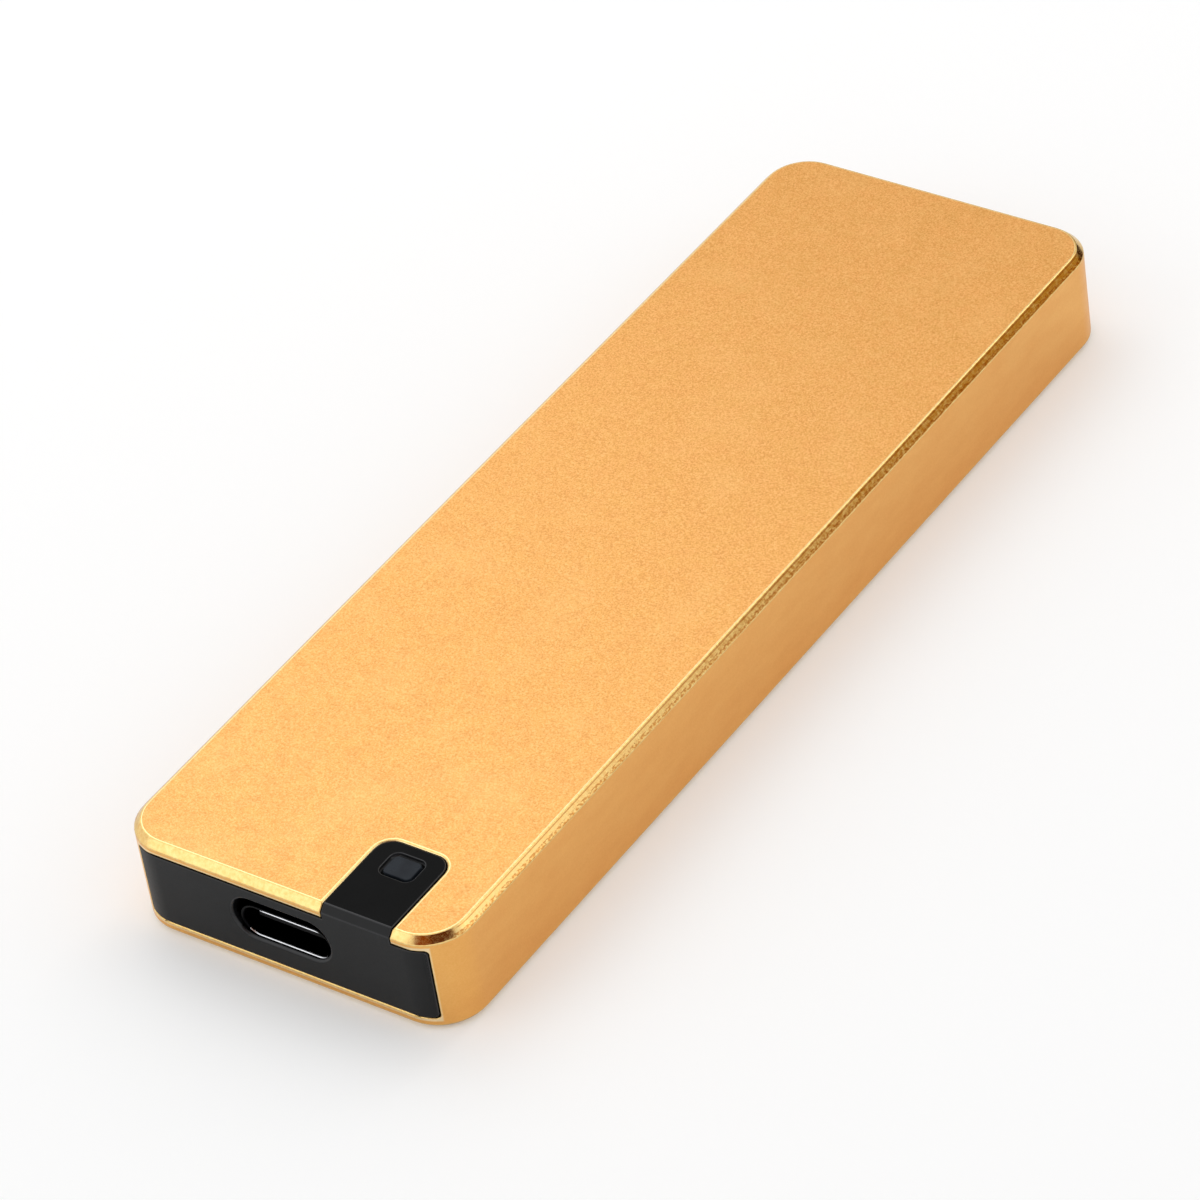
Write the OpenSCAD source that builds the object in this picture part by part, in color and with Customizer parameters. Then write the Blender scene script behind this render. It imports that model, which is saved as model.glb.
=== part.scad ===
// A pocket solid state drive in a gold anodised aluminium case.
//
// The case is one closed-ended sleeve, 100 x 32 x 9.5 mm, with its corners rounded in plan and a
// polished chamfer round the top. Its length follows the memory stick that it holds. A black
// moulded cap fills the open end. It carries the slot for the USB-C port and a tab that runs back
// over the top, flush in a cut-out, with a status light. Inside, a slide-in board carries the
// port, the bridge electronics and an M.2 socket with an 80 mm memory stick, held at its far end
// by a screw in a standoff.
//
// X is the width, Y the length and Z the height. The origin is at the middle of the base, and the
// port faces -Y.

/* [Case] */
// Width of the case
case_width = 32; // [31:0.5:38]
// Height of the case
case_height = 9.5; // [9.2:0.1:11]
// Radius of the case's corners, seen from above
corner_radius = 4.1; // [3.6:0.1:6]
// Polished chamfer round the top
top_chamfer = 0.6; // [0.3:0.05:0.7]
// Chamfer round the base
base_chamfer = 0.5; // [0.2:0.05:0.7]
// Thickness of the top wall
top_wall = 1.2; // [1:0.05:1.4]
// Thickness of the floor
floor_wall = 1.2; // [1:0.05:1.4]
// Thickness of the side walls
side_wall = 1.9; // [1.7:0.05:2.2]
// Thickness of the closed end
end_wall = 1.8; // [1.4:0.1:2.2]
// Radius of the opening's corners, seen from the port end
opening_radius = 0.4; // [0.2:0.05:0.8]
// Broken edge round the opening and the tab's cut-out
edge_break = 0.12; // [0.05:0.01:0.2]

/* [Board rails] */
// Height of the lower rails, which lift the board off the floor
rail_height = 0.8; // [0.7:0.05:1.1]
// How far the rails reach in from the side walls
rail_reach = 1.1; // [0.8:0.05:1.5]
// Thickness of the upper rails
upper_rail_height = 0.7; // [0.4:0.05:1]
// Distance from the port end to the start of the rails
rail_setback = 5.8; // [5.6:0.1:8]

/* [Cap] */
// Clearance between the cap and the opening
cap_gap = 0.1; // [0.05:0.01:0.2]
// Thickness of the cap's face
cap_face = 1.6; // [1.2:0.1:2]
// Depth of the skirt behind the cap's face
cap_skirt_depth = 2.2; // [1:0.1:3]
// Thickness of the skirt and of the tab's hidden flange
cap_skirt = 0.7; // [0.5:0.05:0.9]
// Length of the snap arms behind the cap's face
snap_length = 3.8; // [3:0.1:5]
// Thickness of the snap arms
snap_thickness = 1; // [0.8:0.05:1.3]
// Height of the snap arms
snap_height = 1.8; // [1.4:0.1:2.2]
// How far the snap barbs stand out
snap_barb = 0.3; // [0.2:0.05:0.4]
// Length of the snap barbs
snap_barb_length = 0.8; // [0.6:0.1:1.2]
// Width of the two ears that the board is screwed to
ear_width = 5; // [4:0.1:6]
// Length of the ears behind the cap's face
ear_length = 3.6; // [3:0.1:4]

/* [Tab] */
// Width of the tab on the top
tab_width = 6.5; // [5.5:0.1:8]
// Length of the tab from the port end
tab_length = 8.95; // [8.6:0.05:11]
// Radius of the tab's two inner corners
tab_radius = 1.5; // [1:0.1:2.5]
// Place of the tab's middle along X
tab_x = 7.65; // [7:0.05:9]
// How far the hidden flange reaches past the tab
tab_flange = 0.8; // [0.4:0.1:1]

/* [Status light] */
// Width of the lens
lens_width = 2.65; // [2:0.05:3]
// Length of the lens
lens_length = 2.1; // [1.6:0.05:2.4]
// Radius of the lens's corners
lens_radius = 0.45; // [0.3:0.05:0.8]
// Distance from the port end to the middle of the lens
lens_setback = 6.6; // [6.2:0.05:7]
// Width of the groove round the lens
lens_groove = 0.3; // [0.15:0.05:0.5]
// Depth of the groove round the lens
lens_groove_depth = 0.5; // [0.3:0.05:0.8]
// Clearance of the lens in the tab below the groove
lens_gap = 0.05; // [0.03:0.01:0.1]
// How far the lens lies below the top
lens_sink = 0.05; // [0:0.01:0.15]
// How far the light pipe's collar stands out
lens_collar = 0.4; // [0.2:0.05:0.6]
// Thickness of the light pipe's collar
lens_collar_height = 0.5; // [0.3:0.05:0.8]
// Air gap between the light pipe and the light
light_air_gap = 0.2; // [0.1:0.05:0.3]
// Width of the light on the board
light_width = 1.6; // [1.2:0.1:2]
// Length of the light on the board
light_length = 0.8; // [0.6:0.1:1.2]
// Height of the light on the board
light_height = 0.6; // [0.4:0.05:0.8]

/* [Port slot] */
// Width of the slot in the cap
slot_width = 9.5; // [9.2:0.1:10.4]
// Height of the slot in the cap
slot_height = 3.9; // [3.5:0.1:4.4]
// Place of the slot's middle along X
slot_x = -0.2; // [-0.3:0.05:0.1]
// How far the slot's middle lies above the port's
slot_rise = 0.57; // [0:0.01:0.7]
// Rounded lead-in of the slot
slot_lead = 0.3; // [0.1:0.05:0.4]

/* [USB-C port] */
// Width of the port's steel shell
port_width = 8.94; // [8.9:0.01:9.1]
// Height of the port's steel shell
port_height = 3.26; // [3.16:0.01:3.3]
// Wall of the port's steel shell
port_wall = 0.3; // [0.25:0.01:0.35]
// Length of the port's steel shell
port_length = 7.35; // [6.8:0.05:8]
// How far the steel shell lies behind the cap's face
port_setback = 0.4; // [0.35:0.05:0.7]
// Lead-in inside the front edge of the steel shell
port_lead = 0.14; // [0.05:0.01:0.2]
// Clearance round the steel shell in the cap
port_gap = 0.1; // [0.05:0.01:0.2]
// Width of the tongue
tongue_width = 6.69; // [6.6:0.01:6.8]
// Thickness of the tongue
tongue_height = 0.7; // [0.6:0.01:0.75]
// How far the tongue lies behind the steel shell's front
tongue_setback = 0.92; // [0.6:0.02:1.2]
// Length of the moulded block that closes the shell's rear
port_block = 2.2; // [1.5:0.1:3]
// Clearance between the block and the steel shell
block_gap = 0.03; // [0.02:0.01:0.06]
// Width of a contact strip
strip_width = 0.25; // [0.2:0.01:0.3]
// Thickness of a contact strip
strip_height = 0.06; // [0.04:0.01:0.1]
// Pitch of the contact strips
strip_pitch = 0.5; // [0.45:0.01:0.5]
// Contact strips on each face of the tongue
strip_count = 12; // [8:1:12]
// Length of the contacts' soldered feet
tail_length = 0.7; // [0.4:0.1:1]
// Width of the steel shell's legs, along the port
leg_length = 1; // [0.8:0.1:1.4]
// Distance from the steel shell's front to the middle of its front legs
front_leg_inset = 1.9; // [1.7:0.1:2.4]
// Distance from the steel shell's rear to the middle of its rear legs
rear_leg_inset = 1.2; // [1:0.1:1.6]
// How far the legs reach through the board
leg_reach = 0.3; // [0:0.05:0.4]
// Clearance of the legs in the board's slots
leg_gap = 0.12; // [0.08:0.01:0.2]

/* [Main board] */
// Thickness of the main board
board_height = 1; // [0.8:0.05:1.2]
// Distance from the port end to the main board
board_setback = 1.8; // [1.7:0.05:2.4]
// Clearance between the main board and the case's inside
board_gap = 0.2; // [0.1:0.05:0.3]
// Clearance between the main board and the upper rails
rail_gap = 0.1; // [0.05:0.01:0.15]
// Thickness of the insulating sheet on the floor
sheet_height = 0.1; // [0.1:0.05:0.3]
// Diameter of the cap screws' shanks
cap_screw_diameter = 1.4; // [1.2:0.1:1.6]
// Diameter of the cap screws' heads
cap_screw_head = 2.5; // [2.2:0.1:2.8]
// Height of the cap screws' heads
cap_screw_head_height = 0.5; // [0.4:0.05:0.7]
// Distance of the cap screws from the side of the case's inside
cap_screw_inset = 3.6; // [3.2:0.1:4]
// Distance from the port end to the cap screws
cap_screw_setback = 3.5; // [3.3:0.1:3.8]
// Clearance of the screws in their holes
screw_gap = 0.05; // [0.03:0.01:0.1]

/* [Memory stick] */
// Length of the memory stick, which sets the length of the case
stick_length = 80; // [72:1:110]
// Distance from the port end to the memory stick
stick_setback = 15.5; // [15.2:0.1:20]
// Width of the memory stick
stick_width = 22; // [21:0.5:22]
// Thickness of the memory stick's board
stick_height = 0.8; // [0.7:0.05:0.9]
// Height of the memory stick above the main board
stick_lift = 1.5; // [1.4:0.05:1.7]
// Distance from the end of the memory stick to the inside of the closed end
stick_end_gap = 2.7; // [2.6:0.1:3.5]
// Radius of the half hole at the end of the memory stick
stick_notch = 1.75; // [1.7:0.05:2]
// Place of the key notch along X
key_x = 6.125; // [6:0.005:6.25]
// Width of the key notch
key_width = 1.2; // [1.1:0.05:1.3]
// Depth of the key notch
key_depth = 3.5; // [3.2:0.1:3.8]
// Height of the chips on the memory stick
stick_chip_height = 1.2; // [1:0.05:1.3]

/* [Socket] */
// Height of the memory stick's socket
socket_height = 3.2; // [3.1:0.05:3.6]
// How far the memory stick goes into the socket
socket_grip = 3.6; // [3:0.1:4]
// Thickness of the socket's back
socket_back = 2.1; // [1.6:0.1:2.6]
// Thickness of the socket's two ends
socket_end = 0.8; // [0.6:0.05:1.2]
// Thickness of the contact springs, which is also their room above and below the stick
spring_height = 0.1; // [0.08:0.01:0.15]
// Width of a contact spring
spring_width = 0.2; // [0.16:0.01:0.24]
// Thickness of the gold fingers on the stick
finger_height = 0.05; // [0.04:0.01:0.06]
// Width of a gold finger on the stick
finger_width = 0.35; // [0.3:0.01:0.38]
// Length of the gold fingers on the stick
finger_length = 2.2; // [1.8:0.1:2.6]
// Distance from the stick's edge to its gold fingers
finger_margin = 0.3; // [0.2:0.05:0.5]
// Pitch of the contacts
finger_pitch = 0.5; // [0.5:0.01:0.52]
// Contacts on each face of the stick
finger_count = 37; // [31:2:37]

/* [Parts on the main board] */
// Bridge chip: width, length and height
bridge_size = [9, 9, 0.85]; // [0.5:0.05:10]
// Distance from the stick's socket end to the middle of the bridge chip
bridge_from_socket = 13; // [12:0.5:30]
// Program memory chip: width, length and height
flash_size = [3.9, 4.9, 1.4]; // [1:0.1:6]
// Distance from the board's side to the middle of the program memory chip
flash_from_side = 5.3; // [4.5:0.1:5.6]
// Distance from the socket's back to the middle of the program memory chip
flash_from_back = 4.2; // [3.4:0.1:4.8]
// Leads on each side of the program memory chip
lead_count = 4; // [2:1:4]
// Pitch of the program memory chip's leads
lead_pitch = 1.27; // [1.2:0.01:1.3]
// Width of a lead
lead_width = 0.4; // [0.3:0.05:0.5]
// How far a lead reaches out of its chip
lead_reach = 1.05; // [0.8:0.05:1.1]
// Thickness of a lead
lead_thickness = 0.2; // [0.15:0.01:0.25]
// Crystal: width, length and height
crystal_size = [3.2, 2.5, 0.8]; // [0.5:0.1:4]
// Distance from the board's side to the middle of the crystal
crystal_from_side = 5.9; // [4:0.1:6.5]
// Distance from the stick's socket end to the middle of the crystal
crystal_from_socket = 11; // [9:0.5:30]
// Power regulator: width, length and height
regulator_size = [3, 3, 0.9]; // [0.5:0.1:4]
// Distance from the board's side to the middle of the power regulator
regulator_from_side = 4.4; // [3.5:0.1:5]
// Distance from the socket's back to the middle of the power regulator
regulator_from_back = 2.6; // [2.3:0.1:3.5]
// Inductor: width, length and height
inductor_size = [4, 4, 1.2]; // [0.5:0.1:4.5]
// Distance from the board's side to the middle of the inductor
inductor_from_side = 5.7; // [4:0.1:6]
// Distance from the stick's socket end to the middle of the inductor
inductor_from_socket = 11; // [9:0.5:30]
// Height of the round boss on the inductor
inductor_boss = 0.2; // [0.1:0.05:0.3]
// Broken edge of a chip's body
chip_edge = 0.1; // [0.05:0.01:0.15]
// Broken edge of the light's body
light_edge = 0.05; // [0.02:0.01:0.08]
// Small capacitors: length, width and height
capacitor_size = [1.6, 0.8, 0.8]; // [0.3:0.05:2]
// Small resistors: length, width and height
resistor_size = [1, 0.5, 0.35]; // [0.2:0.05:1.6]
// Length of the soldered end of a small part, as a share of the part
end_cap_share = 0.22; // [0.15:0.01:0.3]
// How far the soldered ends stand out from a small part
end_cap_proud = 0.03; // [0.01:0.01:0.05]

/* [Parts on the memory stick] */
// Controller chip: width and length
controller_size = [12, 12]; // [8:0.5:14]
// Distance from the stick's socket end to the middle of the controller chip
controller_from_socket = 12.5; // [11:0.5:13]
// Working memory chip: width and length
dram_size = [11, 8]; // [6:0.5:14]
// Distance from the stick's socket end to the middle of the working memory chip
dram_from_socket = 24.5; // [23:0.5:26]
// Storage chips: width and length
nand_size = [14, 18]; // [11:0.5:18.5]
// Distance from the stick's socket end to the middle of the first storage chip
nand_from_socket = 40; // [39:0.5:41]
// Distance between the middles of the storage chips
nand_pitch = 20.5; // [19:0.5:21]
// Storage chips
nand_count = 2; // [1:1:2]
// Broken edge of the chips on the memory stick
stick_chip_edge = 0.12; // [0.08:0.01:0.15]
// Width of the thermal pad
pad_width = 20; // [14:0.5:22]
// Distance from the stick's socket end to the thermal pad
pad_from_socket = 6.2; // [5:0.1:8]
// How far the thermal pad reaches past the last storage chip
pad_overhang = 0.5; // [0:0.1:2]

/* [Standoff and screw] */
// Diameter of the standoff
standoff_diameter = 4.4; // [4.2:0.1:4.6]
// Diameter of the standoff's pin in the board
standoff_pin = 3; // [2.8:0.1:3.2]
// Diameter of the standoff's boss in the stick's half hole
standoff_boss = 3.3; // [3.2:0.05:3.4]
// Diameter of the retention screw
screw_diameter = 2; // [1.8:0.1:2.2]
// Diameter of the retention screw's head
screw_head = 4.4; // [4:0.1:4.8]
// Height of the retention screw's head
screw_head_height = 0.6; // [0.5:0.05:0.8]
// Width of the cross recess in the retention screw's head
screw_recess = 0.5; // [0.4:0.05:0.6]
// Length of the retention screw's shank
screw_length = 2.6; // [2:0.1:3]

/* [Hidden] */
$fn = 64;

// A little extra on cutting bodies, so that they pass through what they cut
eps = 1;
// How far one body of a moulding reaches into the next, so that they fuse
join = 0.25;

// Case
case_length = stick_setback + stick_length + stick_end_gap + end_wall;
front_y = -case_length / 2;
cavity_width = case_width - 2 * side_wall;
cavity_half = cavity_width / 2;
cavity_end_y = case_length / 2 - end_wall;
cavity_radius = corner_radius - side_wall;
ceiling_z = case_height - top_wall;
rail_y = front_y + rail_setback;
rail_end_y = cavity_end_y - cavity_radius;

// Main board
board_z = floor_wall + rail_height;
board_top = board_z + board_height;
board_half = cavity_half - board_gap;
board_y = front_y + board_setback;
board_end_y = cavity_end_y - board_gap;
board_radius = cavity_radius - board_gap;
cap_screw_x = cavity_half - cap_screw_inset;
cap_screw_y = front_y + cap_screw_setback;

// Port
port_z = board_top + port_height / 2;
port_y = front_y + port_setback;
port_end_y = port_y + port_length;
slot_z = port_z + slot_rise;
tongue_y = port_y + tongue_setback;
block_y = port_end_y - port_block;
leg_x = port_width / 2 - port_wall / 2;
leg_ys = [port_y + front_leg_inset, port_end_y - rear_leg_inset];
strip_rows = [for (i = [0 : strip_count - 1]) (i - (strip_count - 1) / 2) * strip_pitch];

// Cap and tab
cap_back_y = front_y + cap_face;
cap_top = ceiling_z - cap_gap;
cap_base = floor_wall + cap_gap;
cap_half = cavity_half - cap_gap;
cap_width = cavity_width - 2 * cap_gap;
skirt_z = cap_top - cap_skirt;
tab_end_y = front_y + tab_length;
snap_z = (cap_top + board_top) / 2;
barb_y = cap_back_y + snap_length - snap_barb_length;

// Status light
lens_y = front_y + lens_setback;
lens_top = case_height - lens_sink;
light_top = board_top + light_height;

// Memory stick
stick_z = board_top + stick_lift;
stick_top = stick_z + stick_height;
chips_top = stick_top + stick_chip_height;
stick_y = front_y + stick_setback;
stick_end_y = stick_y + stick_length;
socket_y = stick_y - socket_back;
socket_mouth_y = stick_y + socket_grip;
socket_width = stick_width + 2 * socket_end + 2 * board_gap;
finger_rows = [for (i = [0 : finger_count - 1]) (i - (finger_count - 1) / 2) * finger_pitch];
key_clear = key_width / 2 + finger_pitch / 2;
kept_fingers = [for (x = finger_rows) if (abs(x - key_x) > key_clear) x];

// Where the chips stand on the main board
bridge_at = [0, stick_y + bridge_from_socket];
flash_at = [flash_from_side - board_half, socket_y - flash_from_back];
crystal_at = [crystal_from_side - board_half, stick_y + crystal_from_socket];
regulator_at = [board_half - regulator_from_side, socket_y - regulator_from_back];
inductor_at = [board_half - inductor_from_side, stick_y + inductor_from_socket];
last_nand_y = nand_from_socket + (nand_count - 1) * nand_pitch;

// Where the small parts stand: [x, distance from the port end], beside and behind the port
port_capacitors = [[-5, 6.4], [5.6, 9.6], [2.6, 10.2], [-2.6, 10.2]];
port_resistors = [[0, 9.8]];
// [x, distance from the socket's back]
back_resistors = [[-3.8, 1.8], [-4.9, 1.8]];
// [distance from the board's right side, distance from the socket's back]
side_capacitors = [[1.9, 2.6]];
side_resistors = [[7.3, 2], [3.4, 5]];
// [x, distance from the stick's socket end], on the main board under the stick
under_capacitors = [[-6.4, 7.6], [6.4, 15.4], [-6.4, 18], [0, 20.2], [3.2, 20.2], [-3.2, 20.2]];
under_resistors = [[-3, 7], [-1.4, 7], [0.4, 7], [2.2, 7], [-8.6, 15.4], [9, 15.4], [6.2, 18.6]];
// [x, distance from the stick's socket end], on the stick itself
stick_blocks = [[-8.6, 8.4], [-8.6, 11], [-8.6, 13.6], [8.6, 8.4], [8.6, 11], [8.6, 13.6],
                [-8, 22.8], [-8, 26.2], [8, 22.8], [8, 26.2], [-4.5, 50.2], [4.5, 50.2]];

// Outline forms, drawn flat
module rounded_plate(width, length, radius) {
    square([width - 2 * radius, length], center = true);
    square([width, length - 2 * radius], center = true);
    for (side = [-1, 1], end = [-1, 1])
        translate([side * (width / 2 - radius), end * (length / 2 - radius)]) circle(radius);
}

module slot_outline(width, height) {
    square([width - height, height], center = true);
    for (side = [-1, 1]) translate([side * (width - height) / 2, 0]) circle(height / 2);
}

// A solid with rounded corners and any edge. The children draw the edge's profile, with X measured
// outwards from the corner's axis. It is turned round the corners and drawn along the sides.
module edged_block(width, length, radius, height) {
    reach_x = width / 2 - radius;
    reach_y = length / 2 - radius;
    corners = [[1, 1], [-1, 1], [-1, -1], [1, -1]];
    for (i = [0 : 3])
        translate([corners[i].x * reach_x, corners[i].y * reach_y, 0])
            rotate(90 * i) rotate_extrude(angle = 90) children();
    for (turn = [0, 180]) rotate(turn) {
        if (reach_y > 0) translate([reach_x, reach_y, 0])
            rotate([90, 0, 0]) linear_extrude(2 * reach_y) children();
        if (reach_x > 0) translate([-reach_x, reach_y, 0])
            rotate([90, 0, 90]) linear_extrude(2 * reach_x) children();
    }
    if (reach_x > 0 && reach_y > 0)
        translate([-reach_x, -reach_y, 0]) cube([2 * reach_x, 2 * reach_y, height]);
}

// Turns a form drawn flat, with its height along +Z, so that +Z faces the port end
module facing_front(x, y, z) {
    translate([x, y, z]) rotate([90, 0, 0]) children();
}

module chamfer_profile(radius, height, top, base) {
    polygon([[0, 0], [radius - base, 0], [radius, base], [radius, height - top],
             [radius - top, height], [0, height]]);
}

// A cutting profile that flares outwards by the edge break at its last few hundredths
module flare_profile(radius, depth, flare) {
    polygon([[0, 0], [radius, 0], [radius, depth - flare], [radius + flare + eps, depth + eps],
             [0, depth + eps]]);
}

// The outside of the whole product, which the case and the cap share
module outer_form() {
    edged_block(case_width, case_length, corner_radius, case_height)
        chamfer_profile(corner_radius, case_height, top_chamfer, base_chamfer);
}

// The tab's plan, run out past the port end
module tab_plan(grow, height) {
    length = tab_length + eps * 4;
    translate([tab_x, tab_end_y - length / 2, 0])
        linear_extrude(height)
            rounded_plate(tab_width + 2 * grow, length + 2 * grow, tab_radius + grow);
}

module both_sides() {
    children();
    mirror([1, 0, 0]) children();
}

module side_rails() {
    both_sides() {
        translate([cavity_half - rail_reach, rail_y, floor_wall - eps])
            cube([rail_reach + eps, rail_end_y - rail_y, rail_height + eps]);
        translate([cavity_half - rail_reach, rail_y, board_top + rail_gap])
            cube([rail_reach + eps, rail_end_y - rail_y, upper_rail_height]);
    }
}

// The room inside the case, open at the port end, with the rails left standing
module cavity() {
    depth = cavity_end_y - front_y;
    difference() {
        intersection() {
            translate([0, cavity_end_y - case_length / 2, 0])
                linear_extrude(case_height)
                    rounded_plate(cavity_width, case_length, cavity_radius);
            facing_front(0, cavity_end_y + eps, (floor_wall + ceiling_z) / 2)
                linear_extrude(depth + 2 * eps)
                    rounded_plate(cavity_width, ceiling_z - floor_wall, opening_radius);
        }
        side_rails();
    }
}

// The cut-out in the top wall, with its edge broken at the top
module tab_cutout() {
    depth = top_wall + eps;
    length = tab_length + eps * 4 + 2 * cap_gap;
    radius = tab_radius + cap_gap;
    translate([tab_x, tab_end_y + cap_gap - length / 2, case_height - depth])
        edged_block(tab_width + 2 * cap_gap, length, radius, depth + eps)
            flare_profile(radius, depth, edge_break);
}

module snap_pockets() {
    both_sides() translate([cavity_half - eps, barb_y - cap_gap, snap_z - snap_height / 2 - cap_gap])
        cube([eps + snap_barb + cap_gap, snap_barb_length + 3 * cap_gap, snap_height + 2 * cap_gap]);
}

// The broken edge round the opening
module opening_edge() {
    height = ceiling_z - floor_wall;
    facing_front(0, front_y + eps, (floor_wall + ceiling_z) / 2)
        edged_block(cavity_width, height, opening_radius, eps + eps)
            flare_profile(opening_radius, eps, edge_break);
}

module shell() color([0.85, 0.64, 0.35]) difference() {
    outer_form();
    cavity();
    opening_edge();
    tab_cutout();
    snap_pockets();
}

// The cap's face, which fills the opening and follows the case's corners
module cap_plate() {
    height = cap_top - cap_base;
    radius = opening_radius;
    intersection() {
        outer_form();
        facing_front(0, cap_back_y, (cap_base + cap_top) / 2)
            linear_extrude(cap_face) rounded_plate(cap_width, height, radius);
    }
}

// The tab on the top shares the case's outside, so its front edge carries the same chamfer
module cap_tab() {
    intersection() {
        outer_form();
        translate([0, 0, skirt_z]) tab_plan(0, case_height - skirt_z);
    }
}

// Behind the face: a skirt under the top wall, and a flange round the hidden foot of the tab
module cap_skirts() {
    skirt_half = cap_half - snap_thickness;
    translate([-skirt_half, cap_back_y - join, skirt_z])
        cube([2 * skirt_half, cap_skirt_depth + join, cap_skirt]);
    flange_length = tab_end_y + tab_flange - cap_back_y;
    flange_width = tab_width + 2 * tab_flange;
    translate([tab_x, cap_back_y + flange_length / 2 - join, skirt_z])
        linear_extrude(cap_skirt) rounded_plate(flange_width, flange_length + 2 * join, tab_radius);
}

// Two arms with barbs that spring into the pockets in the side walls
module snap_arms() {
    both_sides() translate([cap_half, cap_back_y, snap_z - snap_height / 2])
        linear_extrude(snap_height)
            polygon([[-snap_thickness, -join], [0, -join], [0, barb_y - cap_back_y],
                     [snap_barb, barb_y - cap_back_y], [snap_barb, barb_y - cap_back_y + snap_barb],
                     [0, snap_length], [-snap_thickness / 2, snap_length],
                     [-snap_thickness, snap_length - snap_thickness / 2]]);
}

// Two ears under the board, which the cap screws bite into
module cap_ears() {
    both_sides() translate([cap_screw_x - ear_width / 2, cap_back_y - join, cap_base])
        cube([ear_width, ear_length + join, board_z - cap_base]);
}

// The slot for the plug, with a rounded lead-in at the face
module port_slot() {
    radius = slot_height / 2;
    facing_front(slot_x, cap_back_y + eps, slot_z)
        edged_block(slot_width, slot_height, radius, cap_face + 2 * eps)
            difference() {
                square([radius + slot_lead, cap_face + 2 * eps]);
                translate([radius + slot_lead, cap_face + eps - slot_lead]) circle(slot_lead);
                translate([radius, -eps]) square([slot_lead + eps, cap_face + 2 * eps - slot_lead]);
            }
}

// The pocket that the port's steel shell stands in, from behind
module port_pocket() {
    facing_front(0, cap_back_y + eps, port_z)
        linear_extrude(cap_back_y + eps - port_y + port_gap)
            slot_outline(port_width + 2 * port_gap, port_height + 2 * port_gap);
}

// The stepped hole for the lens, with a groove round it at the top
module lens_hole() {
    groove = lens_groove;
    translate([tab_x, lens_y, skirt_z - eps]) linear_extrude(case_height - skirt_z + 2 * eps)
        rounded_plate(lens_width + 2 * lens_gap, lens_length + 2 * lens_gap, lens_radius + lens_gap);
    translate([tab_x, lens_y, case_height - lens_groove_depth]) linear_extrude(lens_groove_depth + eps)
        rounded_plate(lens_width + 2 * groove, lens_length + 2 * groove, lens_radius + groove);
}

module cap_screw_holes(diameter, from_z, to_z) {
    both_sides() translate([cap_screw_x, cap_screw_y, from_z])
        cylinder(d = diameter, h = to_z - from_z);
}

module front_cap() color([0.13, 0.13, 0.14]) difference() {
    union() {
        cap_plate();
        cap_tab();
        cap_skirts();
        snap_arms();
        cap_ears();
    }
    port_slot();
    port_pocket();
    lens_hole();
    cap_screw_holes(cap_screw_diameter + 2 * screw_gap, cap_base - eps, board_z + eps);
}

// The lens and its light pipe: one clear moulding, held under the tab by its collar
module led_lens() color([0.2, 0.22, 0.25]) translate([tab_x, lens_y, 0]) {
    collar_z = skirt_z - lens_collar_height;
    translate([0, 0, skirt_z]) linear_extrude(lens_top - skirt_z)
        rounded_plate(lens_width, lens_length, lens_radius);
    translate([0, 0, collar_z]) linear_extrude(lens_collar_height)
        rounded_plate(lens_width + 2 * lens_collar, lens_length + 2 * lens_collar, lens_radius);
    translate([0, 0, light_top + light_air_gap])
        cylinder(d1 = light_width, d2 = lens_length, h = collar_z - light_top - light_air_gap);
}

module main_board() color([0.07, 0.2, 0.14]) translate([0, 0, board_z]) linear_extrude(board_height)
    difference() {
        middle_y = (board_y + board_end_y) / 2;
        translate([0, middle_y]) rounded_plate(2 * board_half, board_end_y - board_y, board_radius);
        for (side = [-1, 1]) {
            translate([side * cap_screw_x, cap_screw_y]) circle(d = cap_screw_diameter + 2 * screw_gap);
            for (y = leg_ys) translate([side * leg_x, y]) rotate(90)
                slot_outline(leg_length + 4 * leg_gap, port_wall + 2 * leg_gap);
        }
        translate([0, stick_end_y]) circle(d = standoff_pin + 2 * screw_gap);
    }

module insulating_sheet() color([0.75, 0.62, 0.3]) {
    half = cavity_half - rail_reach - board_gap;
    length = rail_end_y - rail_y;
    translate([0, rail_y + length / 2, floor_wall]) linear_extrude(sheet_height)
        rounded_plate(2 * half, length, board_radius / 2);
}

module cap_screws() color([0.25, 0.25, 0.27]) {
    cap_screw_holes(cap_screw_diameter, cap_base + screw_gap, board_top);
    cap_screw_holes(cap_screw_head, board_top, board_top + cap_screw_head_height);
}

module usb_shell() color([0.75, 0.76, 0.78]) {
    bore_height = port_height - 2 * port_wall;
    radius = bore_height / 2;
    difference() {
        facing_front(0, port_end_y, port_z)
            linear_extrude(port_length) slot_outline(port_width, port_height);
        facing_front(0, port_end_y + eps, port_z)
            edged_block(port_width - 2 * port_wall, bore_height, radius, port_length + 2 * eps)
                flare_profile(radius, port_length + eps, port_lead);
    }
    both_sides() for (y = leg_ys)
        translate([leg_x - port_wall / 2, y - leg_length / 2, board_z - leg_reach])
            cube([port_wall, leg_length, port_z - board_z + leg_reach]);
}

// The tongue and the block behind it are one moulding
module usb_tongue() color([0.1, 0.1, 0.11]) {
    bore_height = port_height - 2 * port_wall - 2 * block_gap;
    bore_width = port_width - 2 * port_wall - 2 * block_gap;
    nose = tongue_height / 4;
    facing_front(0, port_end_y, port_z)
        linear_extrude(port_block) slot_outline(bore_width, bore_height);
    translate([-tongue_width / 2, 0, port_z]) rotate([90, 0, 90]) linear_extrude(tongue_width)
        polygon([[block_y + block_gap, -tongue_height / 2], [tongue_y + nose, -tongue_height / 2],
                 [tongue_y, nose - tongue_height / 2], [tongue_y, tongue_height / 2 - nose],
                 [tongue_y + nose, tongue_height / 2], [block_y + block_gap, tongue_height / 2]]);
}

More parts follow.
